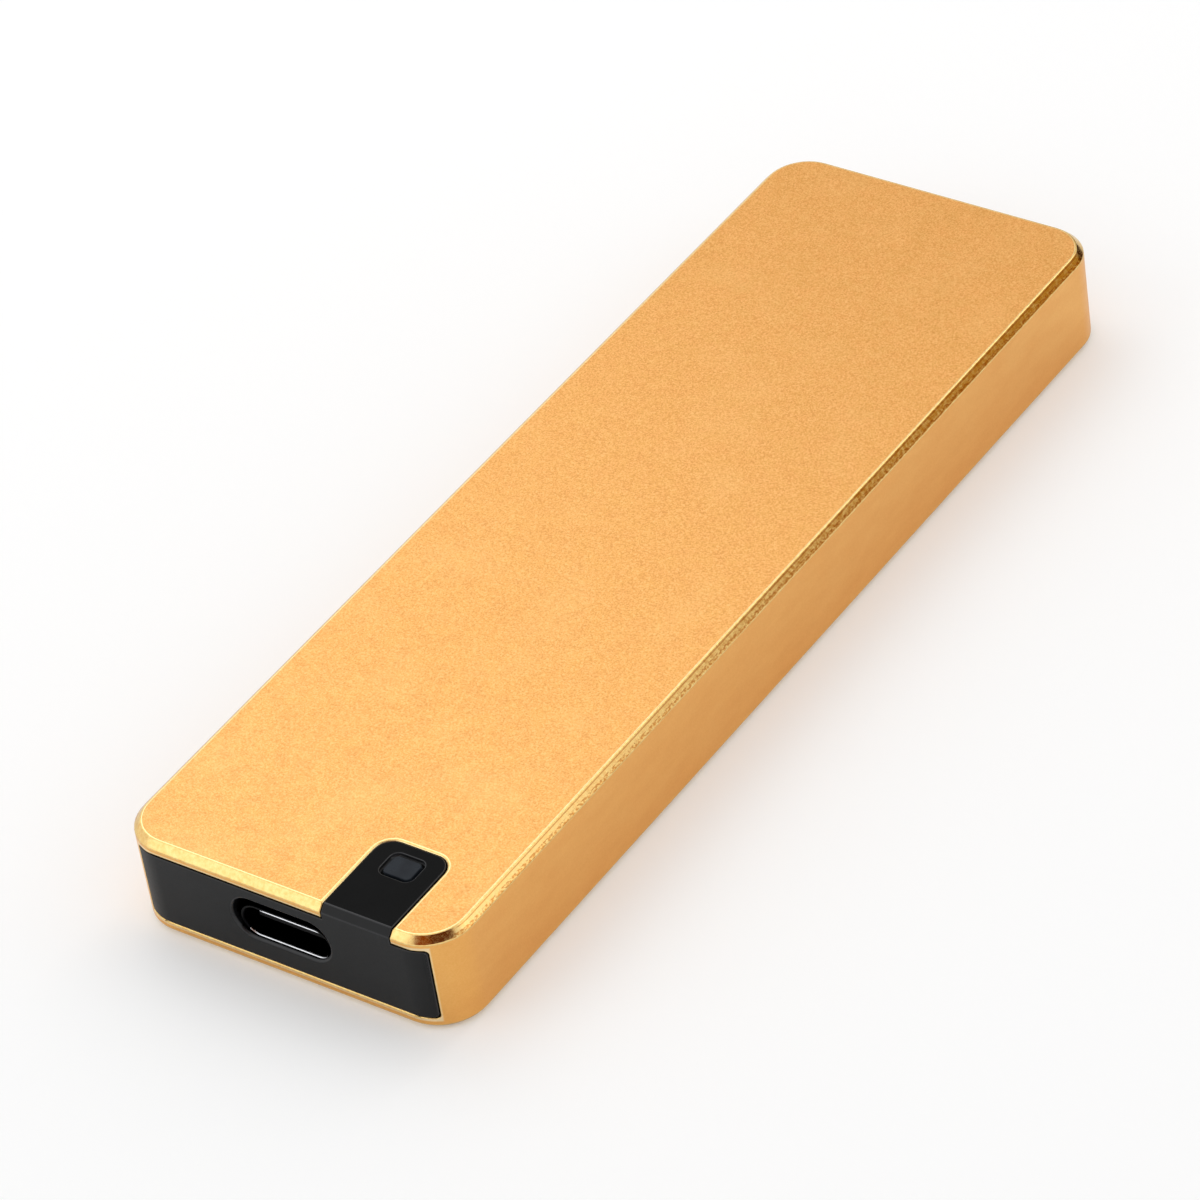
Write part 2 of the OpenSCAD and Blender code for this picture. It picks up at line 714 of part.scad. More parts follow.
// Contact strips on both faces of the tongue, and the soldered feet behind the port
module usb_contacts() color([0.85, 0.7, 0.35]) for (x = strip_rows) {
    for (z = [tongue_height / 2, -tongue_height / 2 - strip_height])
        translate([x - strip_width / 2, tongue_y + tongue_height, port_z + z])
            cube([strip_width, block_y - tongue_y - tongue_height, strip_height]);
    translate([x - strip_width / 2, port_end_y, board_top])
        cube([strip_width, tail_length, 2 * strip_height]);
}

module chip_at(place, z, size, edge = chip_edge) {
    translate([place.x, place.y, z])
        edged_block(size.x, size.y, 4 * edge, size.z) chamfer_profile(4 * edge, size.z, edge, 0);
}

module bridge_chip() color([0.12, 0.12, 0.13]) chip_at(bridge_at, board_top, bridge_size);

// A small leaded chip: its body, with a row of bent leads on each side
module flash_chip() color([0.12, 0.12, 0.13]) {
    chip_at(flash_at, board_top, flash_size);
    for (side = [0, 180], i = [0 : lead_count - 1])
        translate([flash_at.x, flash_at.y, board_top]) rotate(side)
            translate([flash_size.x / 2, (i - (lead_count - 1) / 2) * lead_pitch + lead_width / 2, 0])
                rotate([90, 0, 0]) linear_extrude(lead_width)
                    polygon([[-join, flash_size.z / 2], [lead_reach / 2, flash_size.z / 2],
                             [lead_reach / 2, lead_thickness], [lead_reach, lead_thickness],
                             [lead_reach, 0], [lead_reach / 2 - lead_thickness, 0],
                             [lead_reach / 2 - lead_thickness, flash_size.z / 2 - lead_thickness],
                             [-join, flash_size.z / 2 - lead_thickness]]);
}

module crystal() color([0.78, 0.78, 0.76]) chip_at(crystal_at, board_top, crystal_size);

module power_regulator() color([0.12, 0.12, 0.13]) chip_at(regulator_at, board_top, regulator_size);

// A moulded power inductor, with a shallow round boss for its core
module inductor() color([0.35, 0.34, 0.33]) {
    body = [inductor_size.x, inductor_size.y, inductor_size.z - inductor_boss];
    chip_at(inductor_at, board_top, body);
    translate([inductor_at.x, inductor_at.y, board_top + body.z - inductor_boss])
        cylinder(d = inductor_size.x * 3 / 4, h = 2 * inductor_boss);
}

// A ceramic block with a soldered cap on each end, lying along Y
module small_block(size) {
    cap_length = size.x * end_cap_share;
    proud = end_cap_proud;
    translate([-size.y / 2 + proud, -size.x / 2 + proud, 0])
        cube([size.y - 2 * proud, size.x - 2 * proud, size.z - proud]);
    for (y = [-size.x / 2, size.x / 2 - cap_length])
        translate([-size.y / 2, y, 0]) cube([size.y, cap_length, size.z]);
}

// Small parts at places measured from an origin, with each axis counted one way or the other
module blocks_at(places, origin, way, z, size) {
    for (place = places)
        translate([origin.x + way.x * place.x, origin.y + way.y * place.y, z]) small_block(size);
}

module capacitors() color([0.65, 0.52, 0.38]) {
    blocks_at(port_capacitors, [0, front_y], [1, 1], board_top, capacitor_size);
    blocks_at(side_capacitors, [board_half, socket_y], [-1, -1], board_top, capacitor_size);
    blocks_at(under_capacitors, [0, stick_y], [1, 1], board_top, capacitor_size);
}

module resistors() color([0.15, 0.15, 0.16]) {
    blocks_at(port_resistors, [0, front_y], [1, 1], board_top, resistor_size);
    blocks_at(back_resistors, [0, socket_y], [1, -1], board_top, resistor_size);
    blocks_at(side_resistors, [board_half, socket_y], [-1, -1], board_top, resistor_size);
    blocks_at(under_resistors, [0, stick_y], [1, 1], board_top, resistor_size);
}

module led() color([0.9, 0.88, 0.8])
    chip_at([tab_x, lens_y], board_top, [light_width, light_length, light_height], light_edge);

// The socket's moulding: a slotted bar with closed ends and a key
module m2_socket() color([0.1, 0.1, 0.11]) {
    room = stick_height + 2 * (spring_height + finger_height);
    slot_base = stick_z - board_top - spring_height - finger_height;
    length = socket_mouth_y - socket_y;
    difference() {
        translate([-socket_width / 2, socket_y, board_top]) cube([socket_width, length, socket_height]);
        translate([-stick_width / 2 - board_gap, stick_y, board_top + slot_base])
            cube([stick_width + 2 * board_gap, socket_grip + eps, room]);
        translate([-stick_width / 2, socket_y - eps, stick_top + finger_height])
            cube([stick_width, socket_back + 2 * eps, spring_height]);
    }
    translate([key_x - key_width / 2 + screw_gap, stick_y - join, board_top + slot_base - join])
        cube([key_width - 2 * screw_gap, key_depth - key_width / 2 + join, room + 2 * join]);
}

// Sprung contacts above and below the stick, each with its soldered foot
module m2_contacts() color([0.85, 0.7, 0.35]) {
    upper = stick_top + finger_height;
    lower = stick_z - finger_height - spring_height;
    t = spring_height;
    foot = 4 * t;
    end_y = stick_y + finger_length;
    back_y = socket_y - t;
    mouth_y = socket_mouth_y + t;
    for (x = kept_fingers) translate([x - spring_width / 2, 0, 0])
        rotate([90, 0, 90]) linear_extrude(spring_width) {
            polygon([[end_y, upper], [end_y, upper + t], [back_y, upper + t], [back_y, board_top + t],
                     [back_y - foot, board_top + t], [back_y - foot, board_top],
                     [socket_y, board_top], [socket_y, upper]]);
            polygon([[end_y, lower], [socket_mouth_y, lower], [socket_mouth_y, board_top],
                     [mouth_y + foot, board_top], [mouth_y + foot, board_top + t],
                     [mouth_y, board_top + t], [mouth_y, lower + t], [end_y, lower + t]]);
        }
}

// Turned brass: a pin in the board, a shoulder under the stick and a boss in its half hole
module standoff() color([0.8, 0.66, 0.36]) translate([0, stick_end_y, 0]) rotate_extrude()
    polygon([[screw_diameter / 2 + screw_gap, board_z], [standoff_pin / 2, board_z],
             [standoff_pin / 2, board_top], [standoff_diameter / 2, board_top],
             [standoff_diameter / 2, stick_z], [standoff_boss / 2, stick_z],
             [standoff_boss / 2, stick_top], [screw_diameter / 2 + screw_gap, stick_top]]);

module retention_screw() color([0.75, 0.75, 0.77]) translate([0, stick_end_y, 0]) difference() {
    recess = screw_head_height / 2;
    arm = [screw_head / 2, screw_recess];
    union() {
        translate([0, 0, stick_top - screw_length]) cylinder(d = screw_diameter, h = screw_length);
        translate([0, 0, stick_top]) cylinder(d = screw_head, h = screw_head_height);
    }
    for (turn = [0, 90]) rotate(turn)
        translate([-arm.x / 2, -arm.y / 2, stick_top + screw_head_height - recess])
            cube([arm.x, arm.y, recess + eps]);
}

module ssd_board() color([0.08, 0.2, 0.13]) translate([0, 0, stick_z]) linear_extrude(stick_height)
    difference() {
        translate([-stick_width / 2, stick_y]) square([stick_width, stick_length]);
        translate([0, stick_end_y]) circle(stick_notch);
        translate([key_x, stick_y + key_depth - key_width / 2]) circle(key_width / 2);
        translate([key_x - key_width / 2, stick_y - eps])
            square([key_width, key_depth - key_width / 2 + eps]);
    }

module edge_contacts() color([0.9, 0.75, 0.35])
    for (x = kept_fingers, z = [stick_top, stick_z - finger_height])
        translate([x - finger_width / 2, stick_y + finger_margin, z])
            cube([finger_width, finger_length, finger_height]);

module stick_chip(size, from_socket) {
    chip_at([0, stick_y + from_socket], stick_top, [size.x, size.y, stick_chip_height],
            stick_chip_edge);
}

module controller_chip() color([0.14, 0.14, 0.15]) stick_chip(controller_size, controller_from_socket);

module dram_chip() color([0.12, 0.12, 0.13]) stick_chip(dram_size, dram_from_socket);

module nand_chips() color([0.12, 0.12, 0.13]) for (i = [0 : nand_count - 1])
    stick_chip(nand_size, nand_from_socket + i * nand_pitch);

module ssd_capacitors() color([0.65, 0.52, 0.38])
    blocks_at(stick_blocks, [0, stick_y], [1, 1], stick_top, resistor_size);

// The soft pad that carries the chips' heat to the top wall
module thermal_pad() color([0.6, 0.68, 0.75]) {
    end = last_nand_y + nand_size.y / 2 + pad_overhang;
    translate([-pad_width / 2, stick_y + pad_from_socket, chips_top])
        cube([pad_width, end - pad_from_socket, ceiling_z - chips_top]);
}

shell();
front_cap();
led_lens();
main_board();
insulating_sheet();
cap_screws();
usb_shell();
usb_tongue();
usb_contacts();
bridge_chip();
flash_chip();
crystal();
power_regulator();
inductor();
capacitors();
resistors();
led();
m2_socket();
m2_contacts();
standoff();
retention_screw();
ssd_board();
edge_contacts();
controller_chip();
dram_chip();
nand_chips();
ssd_capacitors();
thermal_pad();
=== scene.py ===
"""A pocket solid state drive in a gold anodised aluminium case, dressed for a studio picture.

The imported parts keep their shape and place. The five that show, the case, the cap, the status
light's lens and the port's shell and tongue, are copied and get finely rounded edges, and every part
gets its material. Lengths are in metres, and MM turns a length in millimetres to metres.
"""

import math

import bmesh
import bpy
from mathutils import Matrix, Vector


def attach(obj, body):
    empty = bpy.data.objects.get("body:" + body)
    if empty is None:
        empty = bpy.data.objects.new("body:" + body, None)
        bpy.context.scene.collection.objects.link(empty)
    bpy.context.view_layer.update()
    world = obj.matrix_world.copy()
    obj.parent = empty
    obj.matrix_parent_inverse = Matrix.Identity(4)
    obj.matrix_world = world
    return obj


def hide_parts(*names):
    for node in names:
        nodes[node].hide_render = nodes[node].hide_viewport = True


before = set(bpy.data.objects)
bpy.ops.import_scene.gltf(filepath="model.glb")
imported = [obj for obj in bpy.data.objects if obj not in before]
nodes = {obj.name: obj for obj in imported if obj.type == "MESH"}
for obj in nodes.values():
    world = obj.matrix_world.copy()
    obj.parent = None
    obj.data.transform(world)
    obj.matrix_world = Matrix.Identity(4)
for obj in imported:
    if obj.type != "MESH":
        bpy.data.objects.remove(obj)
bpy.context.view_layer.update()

MM = 0.001


# Colour and node helpers

def linear(colour):
    """An sRGB hex colour as linear red, green, blue and alpha.

    Each channel c is c / 12.92 up to 0.04045, and ((c + 0.055) / 1.055) to the power 2.4 above it.
    """
    channels = [int(colour[start:start + 2], 16) / 255 for start in (1, 3, 5)]
    return [c / 12.92 if c <= 0.04045 else ((c + 0.055) / 1.055) ** 2.4 for c in channels] + [1]


def add(tree, kind, inputs=(), output=0, **settings):
    """Adds a node with its settings, feeds it values or other nodes' outputs, and returns an output.

    Inputs are given in order, or by name or number.
    """
    node = tree.nodes.new("ShaderNode" + kind)
    for setting, value in settings.items():
        setattr(node, setting, value)
    named = inputs if isinstance(inputs, dict) else dict(enumerate(inputs))
    for socket, value in named.items():
        if isinstance(value, bpy.types.NodeSocket):
            tree.links.new(value, node.inputs[socket])
        else:
            node.inputs[socket].default_value = value
    return node.outputs[output] if node.outputs else None


def per_mm(size):
    """The scale of a texture whose features are this many millimetres across, on coordinates in metres."""
    return 1 / (size * MM)


def emptied_tree(owner):
    """The node tree of a material or a world, with nothing in it."""
    owner.use_nodes = True
    owner.node_tree.nodes.clear()
    return owner.node_tree


def put_in_scene(name, data):
    """A new object in the scene, at the origin and unturned."""
    thing = bpy.data.objects.new(name, data)
    bpy.context.collection.objects.link(thing)
    return thing


def start_material(name, **shader):
    """A new material with one Principled shader, whose fixed values sit on its own sockets."""
    material = bpy.data.materials.new(name)
    tree = emptied_tree(material)
    fixed = {socket.replace("_", " "): value for socket, value in shader.items()}
    surface = add(tree, "BsdfPrincipled", fixed).node
    add(tree, "OutputMaterial", {"Surface": surface.outputs[0]})
    return material, tree, surface, add(tree, "TexCoord", output="Object")


def paint(tree, shade, *layers):
    """Lays tones over a shade, one after another.

    A layer is a pattern, the value where it starts to show, the value where it shows in full, its
    share of the colour there, and its tone.
    """
    for pattern, start, full, most, tone in layers:
        share = add(tree, "MapRange", (pattern, start, full, 0.0, most))
        shade = add(tree, "Mix", {0: share, 6: shade, 7: linear(tone)}, 2, data_type="RGBA")
    return shade


def feed(tree, surface, **outputs):
    """Links outputs to the shader's sockets of the same names."""
    for socket, value in outputs.items():
        tree.links.new(value, surface.inputs[socket.replace("_", " ")])


# Materials

# Nearly all values of a noise texture lie between the first two, round the third
LOW, HIGH, EVEN = 0.3, 0.7, 0.5

# The values at which the pits' bright crests and dark floors show in full
PIT_CREST, PIT_FLOOR = 0.66, 0.34

# How wide the patterns are, in mm
PIT_MM, CLOUD_MM, DRIFT_MM = 0.15, 1.3, 6.0
RIPPLE_MM, DASH_MM, MOTTLE_MM = 0.35, 0.15, 0.8
FLECK_MM, HAZE_MM, WINDOW_MM = 3.0, 0.5, 1.2

# How deep the pits and the ripple are, and how high the tracks stand, in mm
PIT_DEPTH_MM, RIPPLE_DEPTH_MM, TRACK_HEIGHT_MM = 0.008, 0.004, 0.03

# The board's copper tracks, in mm: their length, the step from row to row, and the gap between them
TRACK_LENGTH, TRACK_STEP, TRACK_GAP = 2.4, 0.6, 0.08

# How far the roughness strays to both sides, how much duller the cutter's ripple gets, and how much
# brighter and duller plated metal gets over its mottle
ROUGHNESS_SPREAD = 0.04
RIPPLE_DULLER = 0.14
PLATED_BRIGHTER, PLATED_DULLER = 0.05, 0.08

# The least and the most roughness of the board's mask and of the window
MASK_ROUGHNESS = (0.28, 0.4)
WINDOW_ROUGHNESS = (0.2, 0.3)

# How much of the colour the slow drifts take
DRIFT_SHARE = 0.1

# The outline that the milled rim starts from. It has the front opening's height and middle, and is
# 0.18 mm narrower than the opening at each side, because the rim's upright parts are thinner
RIM_HALF_WIDTH, RIM_HALF_HEIGHT = 13.92 * MM, 3.55 * MM
RIM_MIDDLE = 4.75 * MM

# How far outside that outline the rim is still full and where it ends, and where it fades in, in y
RIM_FULL, RIM_END = 0.24 * MM, 0.36 * MM
RIM_BACK, RIM_FRONT = -47 * MM, -48 * MM

# The height and half the breadth of the cutter's marks, and where they fade in, in |x|
GROOVE = (9.37 * MM, 0.035 * MM)
BURR = (9.02 * MM, 0.12 * MM)
SIDE_START, SIDE_FULL = 15.3 * MM, 15.4 * MM

# The noise values between which the burr's dashes fade in, how many times longer than wide they are,
# and how much of the colour the marks take
DASH_START, DASH_FULL = 0.4, 0.6
DASH_STRETCH = 2
GROOVE_SHARE, BURR_SHARE = 0.7, 0.85


def opening_rim(tree, place):
    """Where the milled rim of the front opening lies, from 0 to 1.

    The distance outside the outline is the greater of |x| less half its width, and |z less its middle|
    less half its height. The share falls from 1 to 0 over it, and is 0 behind the front corners.
    """
    x, y, z = add(tree, "SeparateXYZ", (place,)).node.outputs
    aside = add(tree, "Math", (x,), operation="ABSOLUTE")
    aside = add(tree, "Math", (aside, RIM_HALF_WIDTH), operation="SUBTRACT")
    above = add(tree, "Math", (z, RIM_MIDDLE), operation="SUBTRACT")
    above = add(tree, "Math", (above,), operation="ABSOLUTE")
    above = add(tree, "Math", (above, RIM_HALF_HEIGHT), operation="SUBTRACT")
    distance = add(tree, "Math", (aside, above), operation="MAXIMUM")
    near = add(tree, "MapRange", (distance, RIM_FULL, RIM_END, 1.0, 0.0))
    in_front = add(tree, "MapRange", (y, RIM_BACK, RIM_FRONT, 0.0, 1.0))
    return add(tree, "Math", (near, in_front), operation="MULTIPLY")


def anodised_aluminium(name, tones, grain, roughness, drawn_out=1.0, rim=None):
    """Bead-blasted, gold anodised aluminium: an even sparkle of pits over slow, faint clouds of tone.

    The real pits are too fine to show, so they are drawn coarser. Grain is their contrast from 0 to 1.
    The clouds and the slower drifts of tone are drawn out along the case's length by a factor.
    A rim is the paler tone of the metal that is milled round the front opening.
    """
    light, middle, dark, warm = tones
    material, tree, surface, place = start_material(name, Metallic=1.0)
    along = add(tree, "Mapping", {"Vector": place, "Scale": (1, 1 / drawn_out, 1)})
    pits = add(tree, "TexNoise", {"Vector": place, "Scale": per_mm(PIT_MM), "Detail": 1.0,
                                  "Roughness": 0.6, "Distortion": 0.8})
    clouds = add(tree, "TexNoise", {"Vector": along, "Scale": per_mm(CLOUD_MM), "Detail": 2.0})
    drifts = add(tree, "TexNoise", {"Vector": along, "Scale": per_mm(DRIFT_MM), "Detail": 1.0})
    shade = paint(tree, linear(middle), (clouds, LOW, HIGH, 1.0, warm),
                  (pits, EVEN, PIT_CREST, grain, light), (pits, EVEN, PIT_FLOOR, grain, dark),
                  (drifts, EVEN, HIGH, DRIFT_SHARE, light))
    if rim:
        shade = paint(tree, shade, (opening_rim(tree, place), 0.0, 1.0, 1.0, rim))
    polish = (roughness - ROUGHNESS_SPREAD, roughness + ROUGHNESS_SPREAD)
    depth = PIT_DEPTH_MM * MM * grain
    feed(tree, surface, Base_Color=shade,
         Roughness=add(tree, "MapRange", (clouds, LOW, HIGH, *polish)),
         Normal=add(tree, "Bump", {"Height": pits, "Strength": 1.0, "Distance": depth}))
    return material


def cutter_marks(tree, place):
    """The groove and the burr that the cutter leaves along the case's long sides, each from 0 to 1.

    Each lies within half its breadth of its height, on the chamfer. The burr is broken into dashes
    that run along the case.
    """
    x, _, z = add(tree, "SeparateXYZ", (place,)).node.outputs
    out = add(tree, "Math", (x,), operation="ABSOLUTE")
    on_side = add(tree, "MapRange", (out, SIDE_START, SIDE_FULL, 0.0, 1.0))
    groove = add(tree, "Math", (z, *GROOVE), operation="COMPARE")
    burr = add(tree, "Math", (z, *BURR), operation="COMPARE")
    along = add(tree, "Mapping", {"Vector": place, "Scale": (1, 1 / DASH_STRETCH, 1)})
    specks = add(tree, "TexNoise", {"Vector": along, "Scale": per_mm(DASH_MM), "Detail": 1.0})
    dashes = add(tree, "MapRange", (specks, DASH_START, DASH_FULL, 0.0, 1.0))
    burr = add(tree, "Math", (burr, dashes), operation="MULTIPLY")
    return [add(tree, "Math", (mark, on_side), operation="MULTIPLY") for mark in (groove, burr)]


def cut_aluminium(name, dark, light, roughness, mark=None):
    """Diamond-cut, gold anodised aluminium: a bright face, with the faint ripple of the cutter.

    The ripple is drawn coarser than it is. A mark is the tone of the cutter's groove and burr.
    """
    material, tree, surface, place = start_material(name, Metallic=1.0)
    ripple = add(tree, "TexNoise", {"Vector": place, "Scale": per_mm(RIPPLE_MM), "Detail": 2.0})
    shade = paint(tree, linear(dark), (ripple, LOW, HIGH, 1.0, light))
    if mark:
        groove, burr = cutter_marks(tree, place)
        shade = paint(tree, shade, (groove, 0.0, 1.0, GROOVE_SHARE, mark),
                      (burr, 0.0, 1.0, BURR_SHARE, mark))
    polish = (roughness, roughness + RIPPLE_DULLER)
    feed(tree, surface, Base_Color=shade,
         Roughness=add(tree, "MapRange", (ripple, LOW, HIGH, *polish)),
         Normal=add(tree, "Bump", {"Height": ripple, "Strength": 1.0, "Distance": RIPPLE_DEPTH_MM * MM}))
    return material


def moulded_plastic(name, colour, fleck, roughness, texture_mm=0.12, depth_mm=0.004, shine=0.5):
    """Moulded plastic, resin or ceramic: a soft sheen broken by the very fine texture of its tool."""
    material, tree, surface, place = start_material(name, IOR=1.53, Specular_IOR_Level=shine)
    texture = add(tree, "TexNoise", {"Vector": place, "Scale": per_mm(texture_mm), "Detail": 2.0})
    clouds = add(tree, "TexNoise", {"Vector": place, "Scale": per_mm(FLECK_MM), "Detail": 2.0})
    polish = (roughness - ROUGHNESS_SPREAD, roughness + ROUGHNESS_SPREAD)
    feed(tree, surface, Base_Color=paint(tree, linear(colour), (clouds, LOW, HIGH, 1.0, fleck)),
         Roughness=add(tree, "MapRange", (texture, LOW, HIGH, *polish)),
         Normal=add(tree, "Bump", {"Height": texture, "Strength": 1.0, "Distance": depth_mm * MM}))
    return material


def plated_metal(name, colour, shadow, roughness):
    """Plated or turned metal: bright, with a faint mottle of handling."""
    material, tree, surface, place = start_material(name, Metallic=1.0)
    mottle = add(tree, "TexNoise", {"Vector": place, "Scale": per_mm(MOTTLE_MM), "Detail": 3.0})
    polish = (roughness - PLATED_BRIGHTER, roughness + PLATED_DULLER)
    feed(tree, surface, Base_Color=paint(tree, linear(shadow), (mottle, LOW, HIGH, 1.0, colour)),
         Roughness=add(tree, "MapRange", (mottle, LOW, HIGH, *polish)))
    return material


def circuit_board(name, mask, copper):
    """Glass-epoxy board under solder mask: glossy, with rows of raised copper tracks showing lighter."""
    material, tree, surface, place = start_material(name, IOR=1.5, Coat_Weight=0.4)
    tracks = add(tree, "TexBrick", {"Vector": place, "Scale": per_mm(1.0), "Mortar Size": TRACK_GAP,
                                    "Brick Width": TRACK_LENGTH, "Row Height": TRACK_STEP}, "Fac")
    haze = add(tree, "TexNoise", {"Vector": place, "Scale": per_mm(HAZE_MM), "Detail": 2.0})
    feed(tree, surface, Base_Color=paint(tree, linear(mask), (tracks, 0.0, 1.0, 1.0, copper)),
         Roughness=add(tree, "MapRange", (haze, LOW, HIGH, *MASK_ROUGHNESS)),
         Normal=add(tree, "Bump", {"Height": tracks, "Strength": 1.0, "Distance": TRACK_HEIGHT_MM * MM}))
    return material


def smoked_polycarbonate(name, dark, light):
    """Smoked polycarbonate: a dark blue-grey window, polished, and lit faintly from its depth."""
    material, tree, surface, place = start_material(name, IOR=1.58, Specular_IOR_Level=0.06)
    depth = add(tree, "TexNoise", {"Vector": place, "Scale": per_mm(WINDOW_MM), "Detail": 2.0})
    feed(tree, surface, Base_Color=paint(tree, linear(dark), (depth, LOW, HIGH, 1.0, light)),
         Roughness=add(tree, "MapRange", (depth, LOW, HIGH, *WINDOW_ROUGHNESS)))
    return material


# Shapes

# The case's outer form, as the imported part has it
CASE_HALF = (16 * MM, 50 * MM)
CASE_HEIGHT = 9.5 * MM
CORNER = 4.1 * MM
TOP_CHAMFER = 0.6 * MM
BASE_CHAMFER = 0.5 * MM

# What lies less deep than this is on the outer form, and the broken edges of its openings end above
# the second depth
SKIN = 0.02 * MM
BROKEN_EDGE = 0.3 * MM

# The width of the strip along the top's edge that gets the pale cut finish: partly the cutter's bright
# edge, partly a painted highlight
EDGE_HIGHLIGHT_WIDTH = 0.15 * MM

# The share of the full rounding that the case's finer edges get
FINE_EDGE = 0.35

# Only edges that turn by more than this are rounded, in so many steps
SHARP = math.radians(25)
STEPS = 3

# Points closer than this are one, and faces that turn by less than the angle are one
SAME_POINT = 1e-6
SAME_FACE = math.radians(1.5)

# How much large faces sway the normals, from 1 to 100, where 50 lets all faces count alike
LARGE_FACES = 100

# How far up a normal points where its face still counts as upright, and where it counts as level
NEARLY_UPRIGHT, NEARLY_LEVEL = 0.3, 0.95
TAB_LEVEL = 0.9

# How far up and to the port's end a normal points where its face slants to both
UP_FRONT = 0.5

# The port's lead-in in the cap: how deep it reaches, and how far its normals point to the front
LEAD_IN_DEPTH = 1 * MM
LEAD_IN_LEAST, LEAD_IN_MOST = 0.2, 0.95

# The edges that are rounded: the opening's lower lip lies below the first height, the lens's edge less
# deep than the second value, and the port's rim and the tongue's nose in front of the last two, in y
LOWER_LIP = 2 * MM
LENS_EDGE = 0.2 * MM
PORT_RIM = -49.5 * MM
TONGUE_NOSE = -48 * MM

# The finishes of the case, in the order of its materials, and those of the cap, port and tongue
LEVEL, UPRIGHT, SLANTED, CUT = range(4)
FACE, TAB, RUBBED = range(3)
# On the port the plain finish is painted shade, and on the port and the tongue the bright finish is partly
# a painted highlight
PLAIN, BRIGHT = range(2)

# The parts that show: the piece's name, its slot in the record and the width of its rounded edges
SHOWN = {"shell": ("gold_case", "gold_aluminium", 0.085 * MM),
         "front_cap": ("black_cap", "black_plastic", 0.07 * MM),
         "led_lens": ("light_window", "smoked_lens", 0.08 * MM),
         "usb_shell": ("port_shell", "port_steel", 0.04 * MM),
         "usb_tongue": ("port_tongue", "black_resin", 0.03 * MM)}


def depth_inside(point):
    """How far a point lies inside the case's outer form, which is the least of five distances.

    They are the height above the base, the depth below the top, the distance to the rounded
    rectangle seen from above, which is the corner radius less the distance to its core, and the
    distances to the two chamfers, which are the sum of two of the others less the chamfer, by root 2.
    """
    over = [max(abs(c) - (half - CORNER), 0) for c, half in zip(point, CASE_HALF)]
    side = CORNER - math.hypot(*over)
    below, above = point.z, CASE_HEIGHT - point.z
    return min(side, below, above, (side + above - TOP_CHAMFER) / math.sqrt(2),
               (side + below - BASE_CHAMFER) / math.sqrt(2))


def deepest(face):
    """How deep inside the outer form a face reaches."""
    return max(depth_inside(corner.co) for corner in face.verts)


def faces_up_front(face):
    """Whether a face slants upwards to the port's end: such faces get the painted highlight on the port
    and tongue.
    """
    return face.normal.z > UP_FRONT and face.normal.y < -UP_FRONT


def merged_copy(node):
    """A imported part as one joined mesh: its loose triangles are merged and its flat faces made whole."""
    mesh = bmesh.new()
    mesh.from_mesh(nodes[node].data)
    bmesh.ops.remove_doubles(mesh, verts=mesh.verts, dist=SAME_POINT)
    bmesh.ops.dissolve_limit(mesh, angle_limit=SAME_FACE, verts=mesh.verts, edges=mesh.edges)
    return mesh


def round_edges(mesh, node, materials, weigh, new_faces=0):
    """Makes the copy a piece whose sharp outer edges are rounded, and lets it stand for its part.

    The weigh function gives an edge's share of the full width from its middle. The normals are
    weighted by area, so that flat faces stay flat beside their rounded edges.
    """
    name, slot, width = SHOWN[node]
    weights = mesh.edges.layers.float.new("bevel_weight_edge")
    for edge in mesh.edges:
        if edge.calc_face_angle(0) > SHARP:
            edge[weights] = weigh((edge.verts[0].co + edge.verts[1].co) / 2)
    for face in mesh.faces:
        face.smooth = True
    data = bpy.data.meshes.new(name)
    mesh.to_mesh(data)
    mesh.free()
    for material in materials:
        data.materials.append(material)
    piece = put_in_scene(name, data)
    bevel = piece.modifiers.new("edges", "BEVEL")
    bevel.width = width
    bevel.segments = STEPS
    bevel.limit_method = "WEIGHT"
    bevel.use_clamp_overlap = False
    bevel.material = new_faces
    piece.modifiers.new("normals", "WEIGHTED_NORMAL").weight = LARGE_FACES
    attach(piece, "root")
    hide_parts(node)


def case_finish(face):
    """Which finish a face of the case has, by how deep it lies and by its slope."""
    depth = deepest(face)
    if depth > SKIN:
        return CUT if depth < BROKEN_EDGE else UPRIGHT
    slope = abs(face.normal.z)
    if slope > NEARLY_UPRIGHT:
        return LEVEL if slope > NEARLY_LEVEL else SLANTED
    return UPRIGHT


def case_share(middle):
    """Full roundings along the outer form and the lower lip, and fine ones round the openings."""
    depth = depth_inside(middle)
    if depth > BROKEN_EDGE:
        return 0
    on_lower_lip = middle.z < LOWER_LIP
    return 1 if depth < SKIN or on_lower_lip else FINE_EDGE


def make_case(materials):
    """The case. A narrow strip of the top, along its whole edge, gets the pale cut finish: partly the
    cutter's bright edge, partly a painted highlight.
    """
    mesh = merged_copy("shell")
    top = [face for face in mesh.faces if case_finish(face) == LEVEL and face.normal.z > 0]
    highlight_strip = bmesh.ops.inset_region(mesh, faces=top, thickness=EDGE_HIGHLIGHT_WIDTH, use_boundary=True,
                                  use_even_offset=True)
    for face in mesh.faces:
        face.material_index = case_finish(face)
    # The strip round the top gets the cut finish, partly as a painted highlight
    for face in highlight_strip["faces"]:
        face.material_index = CUT
    round_edges(mesh, "shell", materials, case_share, SLANTED)


def cap_finish(face):
    """Which finish a face of the cap has: its face, the top of its tab or the port's lead-in."""
    in_reach = SKIN < deepest(face) < LEAD_IN_DEPTH
    if in_reach and LEAD_IN_LEAST < -face.normal.y < LEAD_IN_MOST:
        return RUBBED
    return TAB if face.normal.z > TAB_LEVEL else FACE


def make_cap(materials):
    """The black cap: its face and its tab have finishes of their own, and its edges shine."""
    mesh = merged_copy("front_cap")
    for face in mesh.faces:
        face.material_index = cap_finish(face)
    round_edges(mesh, "front_cap", materials, lambda middle: depth_inside(middle) < SKIN, RUBBED)


def make_lens(materials):
    """The window of the status light, with a soft edge."""
    round_edges(merged_copy("led_lens"), "led_lens", materials,
                lambda middle: depth_inside(middle) < LENS_EDGE)


